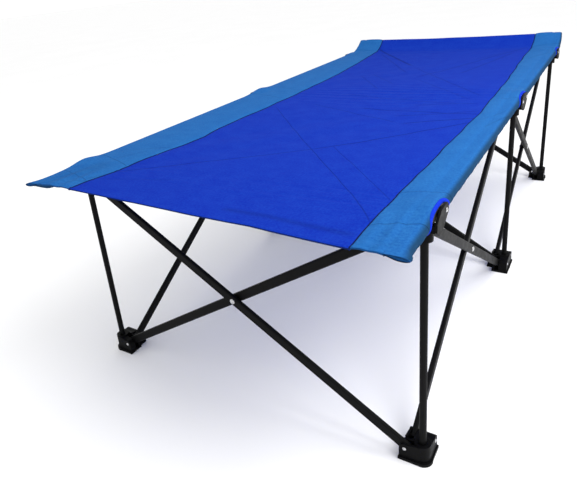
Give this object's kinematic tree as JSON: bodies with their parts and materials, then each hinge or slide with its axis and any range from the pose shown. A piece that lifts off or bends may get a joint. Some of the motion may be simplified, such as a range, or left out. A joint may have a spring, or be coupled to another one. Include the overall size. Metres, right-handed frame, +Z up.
{
  "type": "folding camp stretcher",
  "caption": "Folding stretcher bed: blue fabric on sleeved side rails over a black scissor-bar frame with moulded feet, folding into an upright bundle.",
  "frame": {"origin": "on the ground under the middle of the bed", "axes": "+X to the right-hand side seen from the foot end, +Y along the bed towards the raised head end, +Z up"},
  "size_m": [0.841, 1.86, 0.5579],
  "materials": {
    "canvas": "woven polyester, royal blue with lighter blue side sleeves",
    "tube": "black enamelled steel tube",
    "moulding": "black moulded plastic",
    "rivet": "plated steel",
    "rail": "steel tube inside the sleeve"
  },
  "bodies": {
    "foot_front_left": {"foot_front_left": "moulding"},
    "hub_front_left": {"hub_front_left": "moulding", "post_front_left": "tube"},
    "foot_front_right": {"foot_front_right": "moulding"},
    "hub_front_right": {"hub_front_right": "moulding", "post_front_right": "tube"},
    "cross_bar_front_fore": {"cross_bar_front_fore": "tube", "cross_rivet_front": "rivet"},
    "cross_bar_front_rear": {"cross_bar_front_rear": "tube"},
    "foot_middle_left": {"foot_middle_left": "moulding"},
    "hub_middle_left": {"hub_middle_left": "moulding", "post_middle_left": "tube"},
    "foot_middle_right": {"foot_middle_right": "moulding"},
    "hub_middle_right": {"hub_middle_right": "moulding", "post_middle_right": "tube"},
    "cross_bar_middle_fore": {"cross_bar_middle_fore": "tube", "cross_rivet_middle": "rivet"},
    "cross_bar_middle_rear": {"cross_bar_middle_rear": "tube"},
    "foot_head_left": {"foot_head_left": "moulding"},
    "hub_head_left": {"hub_head_left": "moulding", "post_head_left": "tube"},
    "foot_head_right": {"foot_head_right": "moulding"},
    "hub_head_right": {"hub_head_right": "moulding", "post_head_right": "tube"},
    "cross_bar_head_fore": {"cross_bar_head_fore": "tube", "cross_rivet_head": "rivet"},
    "cross_bar_head_rear": {"cross_bar_head_rear": "tube"},
    "side_bar_front_left_inner": {"side_bar_front_left_inner": "tube", "side_rivet_front_left": "rivet"},
    "side_bar_front_left_outer": {"side_bar_front_left_outer": "tube"},
    "side_bar_head_left_inner": {"side_bar_head_left_inner": "tube"},
    "side_bar_head_left_outer": {"side_bar_head_left_outer": "tube", "side_rivet_head_left": "rivet"},
    "rail_front_left": {"rail_front_left": "rail", "canvas_front_left": "canvas"},
    "rail_front_mid_left": {"rail_front_mid_left": "rail", "canvas_front_mid_left": "canvas"},
    "rail_head_mid_left": {"rail_head_mid_left": "rail", "canvas_head_mid_left": "canvas"},
    "rail_head_left": {"rail_head_left": "rail", "canvas_head_left": "canvas"},
    "side_bar_front_right_inner": {"side_bar_front_right_inner": "tube", "side_rivet_front_right": "rivet"},
    "side_bar_front_right_outer": {"side_bar_front_right_outer": "tube"},
    "side_bar_head_right_inner": {"side_bar_head_right_inner": "tube"},
    "side_bar_head_right_outer": {"side_bar_head_right_outer": "tube", "side_rivet_head_right": "rivet"},
    "rail_front_right": {"rail_front_right": "rail", "canvas_front_right": "canvas"},
    "rail_front_mid_right": {"rail_front_mid_right": "rail", "canvas_front_mid_right": "canvas"},
    "rail_head_mid_right": {"rail_head_mid_right": "rail", "canvas_head_mid_right": "canvas"},
    "rail_head_right": {"rail_head_right": "rail", "canvas_head_right": "canvas"}
  },
  "joints": [
    {"name": "fold", "type": "hinge", "parent": "foot_middle_left", "child": "cross_bar_middle_rear", "pos_m": [-0.365, 0.006, 0.026], "axis": [0, -1, 0], "range_deg": [0, 55], "deforming": ["canvas_front_left", "canvas_front_mid_left", "canvas_head_mid_left", "canvas_head_left", "canvas_front_right", "canvas_front_mid_right", "canvas_head_mid_right", "canvas_head_right"]},
    {"name": "middle_crossing", "type": "hinge", "parent": "cross_bar_middle_rear", "child": "cross_bar_middle_fore", "pos_m": [0, 0, 0.25], "axis": [0, -1, 0], "range_deg": [-110, 0]},
    {"name": "foot_middle_right_pivot", "type": "hinge", "parent": "cross_bar_middle_fore", "child": "foot_middle_right", "pos_m": [0.365, -0.006, 0.026], "axis": [0, -1, 0], "range_deg": [0, 55]},
    {"name": "hub_middle_left_pivot", "type": "hinge", "parent": "cross_bar_middle_fore", "child": "hub_middle_left", "pos_m": [-0.365, -0.006, 0.474], "axis": [0, -1, 0], "range_deg": [0, 55]},
    {"name": "hub_middle_right_pivot", "type": "hinge", "parent": "cross_bar_middle_rear", "child": "hub_middle_right", "pos_m": [0.365, 0.006, 0.474], "axis": [0, -1, 0], "range_deg": [-55, 0]},
    {"name": "side_bar_front_left_outer_pivot", "type": "hinge", "parent": "foot_middle_left", "child": "side_bar_front_left_outer", "pos_m": [-0.3825, -0.03, 0.026], "axis": [1, 0, 0], "range_deg": [-55, 0]},
    {"name": "side_crossing_front_left", "type": "hinge", "parent": "side_bar_front_left_outer", "child": "side_bar_front_left_inner", "pos_m": [-0.3765, -0.395, 0.25], "axis": [1, 0, 0], "range_deg": [0, 110]},
    {"name": "foot_front_left_pivot", "type": "hinge", "parent": "side_bar_front_left_inner", "child": "foot_front_left", "pos_m": [-0.3705, -0.76, 0.026], "axis": [1, 0, 0], "range_deg": [-55, 0]},
    {"name": "hub_front_left_pivot", "type": "hinge", "parent": "side_bar_front_left_outer", "child": "hub_front_left", "pos_m": [-0.3825, -0.76, 0.474], "axis": [1, 0, 0], "range_deg": [0, 55]},
    {"name": "side_bar_head_left_inner_pivot", "type": "hinge", "parent": "foot_middle_left", "child": "side_bar_head_left_inner", "pos_m": [-0.3705, 0.03, 0.026], "axis": [1, 0, 0], "range_deg": [0, 55]},
    {"name": "side_crossing_head_left", "type": "hinge", "parent": "side_bar_head_left_inner", "child": "side_bar_head_left_outer", "pos_m": [-0.3765, 0.395, 0.25], "axis": [1, 0, 0], "range_deg": [-110, 0]},
    {"name": "foot_head_left_pivot", "type": "hinge", "parent": "side_bar_head_left_outer", "child": "foot_head_left", "pos_m": [-0.3825, 0.76, 0.026], "axis": [1, 0, 0], "range_deg": [0, 55]},
    {"name": "hub_head_left_pivot", "type": "hinge", "parent": "side_bar_head_left_inner", "child": "hub_head_left", "pos_m": [-0.3705, 0.76, 0.474], "axis": [1, 0, 0], "range_deg": [-55, 0]},
    {"name": "rail_front_left_pivot", "type": "hinge", "parent": "hub_front_left", "child": "rail_front_left", "pos_m": [-0.404, -0.76, 0.504], "axis": [1, 0, 0], "range_deg": [-90, 0]},
    {"name": "rail_front_mid_left_pivot", "type": "hinge", "parent": "hub_middle_left", "child": "rail_front_mid_left", "pos_m": [-0.404, -0.03, 0.504], "axis": [1, 0, 0], "range_deg": [0, 90]},
    {"name": "rail_head_mid_left_pivot", "type": "hinge", "parent": "hub_middle_left", "child": "rail_head_mid_left", "pos_m": [-0.404, 0.03, 0.504], "axis": [1, 0, 0], "range_deg": [-90, 0]},
    {"name": "rail_head_left_pivot", "type": "hinge", "parent": "hub_head_left", "child": "rail_head_left", "pos_m": [-0.404, 0.76, 0.504], "axis": [1, 0, 0], "range_deg": [0, 90]},
    {"name": "side_bar_front_right_outer_pivot", "type": "hinge", "parent": "foot_middle_right", "child": "side_bar_front_right_outer", "pos_m": [0.3825, -0.03, 0.026], "axis": [1, 0, 0], "range_deg": [-55, 0]},
    {"name": "side_crossing_front_right", "type": "hinge", "parent": "side_bar_front_right_outer", "child": "side_bar_front_right_inner", "pos_m": [0.3765, -0.395, 0.25], "axis": [1, 0, 0], "range_deg": [0, 110]},
    {"name": "foot_front_right_pivot", "type": "hinge", "parent": "side_bar_front_right_inner", "child": "foot_front_right", "pos_m": [0.3705, -0.76, 0.026], "axis": [1, 0, 0], "range_deg": [-55, 0]},
    {"name": "hub_front_right_pivot", "type": "hinge", "parent": "side_bar_front_right_outer", "child": "hub_front_right", "pos_m": [0.3825, -0.76, 0.474], "axis": [1, 0, 0], "range_deg": [0, 55]},
    {"name": "side_bar_head_right_inner_pivot", "type": "hinge", "parent": "foot_middle_right", "child": "side_bar_head_right_inner", "pos_m": [0.3705, 0.03, 0.026], "axis": [1, 0, 0], "range_deg": [0, 55]},
    {"name": "side_crossing_head_right", "type": "hinge", "parent": "side_bar_head_right_inner", "child": "side_bar_head_right_outer", "pos_m": [0.3765, 0.395, 0.25], "axis": [1, 0, 0], "range_deg": [-110, 0]},
    {"name": "foot_head_right_pivot", "type": "hinge", "parent": "side_bar_head_right_outer", "child": "foot_head_right", "pos_m": [0.3825, 0.76, 0.026], "axis": [1, 0, 0], "range_deg": [0, 55]},
    {"name": "hub_head_right_pivot", "type": "hinge", "parent": "side_bar_head_right_inner", "child": "hub_head_right", "pos_m": [0.3705, 0.76, 0.474], "axis": [1, 0, 0], "range_deg": [-55, 0]},
    {"name": "rail_front_right_pivot", "type": "hinge", "parent": "hub_front_right", "child": "rail_front_right", "pos_m": [0.404, -0.76, 0.504], "axis": [1, 0, 0], "range_deg": [-90, 0]},
    {"name": "rail_front_mid_right_pivot", "type": "hinge", "parent": "hub_middle_right", "child": "rail_front_mid_right", "pos_m": [0.404, -0.03, 0.504], "axis": [1, 0, 0], "range_deg": [0, 90]},
    {"name": "rail_head_mid_right_pivot", "type": "hinge", "parent": "hub_middle_right", "child": "rail_head_mid_right", "pos_m": [0.404, 0.03, 0.504], "axis": [1, 0, 0], "range_deg": [-90, 0]},
    {"name": "rail_head_right_pivot", "type": "hinge", "parent": "hub_head_right", "child": "rail_head_right", "pos_m": [0.404, 0.76, 0.504], "axis": [1, 0, 0], "range_deg": [0, 90]},
    {"name": "cross_bar_front_fore_pivot", "type": "hinge", "parent": "foot_front_right", "child": "cross_bar_front_fore", "pos_m": [0.365, -0.796, 0.026], "axis": [0, -1, 0], "range_deg": [-55, 0]},
    {"name": "cross_bar_front_rear_pivot", "type": "hinge", "parent": "foot_front_left", "child": "cross_bar_front_rear", "pos_m": [-0.365, -0.784, 0.026], "axis": [0, -1, 0], "range_deg": [0, 55]},
    {"name": "cross_bar_head_fore_pivot", "type": "hinge", "parent": "foot_head_right", "child": "cross_bar_head_fore", "pos_m": [0.365, 0.784, 0.026], "axis": [0, -1, 0], "range_deg": [-55, 0]},
    {"name": "cross_bar_head_rear_pivot", "type": "hinge", "parent": "foot_head_left", "child": "cross_bar_head_rear", "pos_m": [-0.365, 0.796, 0.026], "axis": [0, -1, 0], "range_deg": [0, 55]}
  ],
  "couplings": [
    {"joint": "middle_crossing", "follows": "fold", "ratio": -2},
    {"joint": "foot_middle_right_pivot", "follows": "fold", "ratio": 1},
    {"joint": "hub_middle_left_pivot", "follows": "fold", "ratio": 1},
    {"joint": "hub_middle_right_pivot", "follows": "fold", "ratio": -1},
    {"joint": "side_bar_front_left_outer_pivot", "follows": "fold", "ratio": -1},
    {"joint": "side_crossing_front_left", "follows": "fold", "ratio": 2},
    {"joint": "foot_front_left_pivot", "follows": "fold", "ratio": -1},
    {"joint": "hub_front_left_pivot", "follows": "fold", "ratio": 1},
    {"joint": "side_bar_head_left_inner_pivot", "follows": "fold", "ratio": 1},
    {"joint": "side_crossing_head_left", "follows": "fold", "ratio": -2},
    {"joint": "foot_head_left_pivot", "follows": "fold", "ratio": 1},
    {"joint": "hub_head_left_pivot", "follows": "fold", "ratio": -1},
    {"joint": "rail_front_left_pivot", "follows": "fold", "ratio": -1.6364},
    {"joint": "rail_front_mid_left_pivot", "follows": "fold", "ratio": 1.6364},
    {"joint": "rail_head_mid_left_pivot", "follows": "fold", "ratio": -1.6364},
    {"joint": "rail_head_left_pivot", "follows": "fold", "ratio": 1.6364},
    {"joint": "side_bar_front_right_outer_pivot", "follows": "fold", "ratio": -1},
    {"joint": "side_crossing_front_right", "follows": "fold", "ratio": 2},
    {"joint": "foot_front_right_pivot", "follows": "fold", "ratio": -1},
    {"joint": "hub_front_right_pivot", "follows": "fold", "ratio": 1},
    {"joint": "side_bar_head_right_inner_pivot", "follows": "fold", "ratio": 1},
    {"joint": "side_crossing_head_right", "follows": "fold", "ratio": -2},
    {"joint": "foot_head_right_pivot", "follows": "fold", "ratio": 1},
    {"joint": "hub_head_right_pivot", "follows": "fold", "ratio": -1},
    {"joint": "rail_front_right_pivot", "follows": "fold", "ratio": -1.6364},
    {"joint": "rail_front_mid_right_pivot", "follows": "fold", "ratio": 1.6364},
    {"joint": "rail_head_mid_right_pivot", "follows": "fold", "ratio": -1.6364},
    {"joint": "rail_head_right_pivot", "follows": "fold", "ratio": 1.6364},
    {"joint": "cross_bar_front_fore_pivot", "follows": "fold", "ratio": -1},
    {"joint": "cross_bar_front_rear_pivot", "follows": "fold", "ratio": 1},
    {"joint": "cross_bar_head_fore_pivot", "follows": "fold", "ratio": -1},
    {"joint": "cross_bar_head_rear_pivot", "follows": "fold", "ratio": 1}
  ]
}
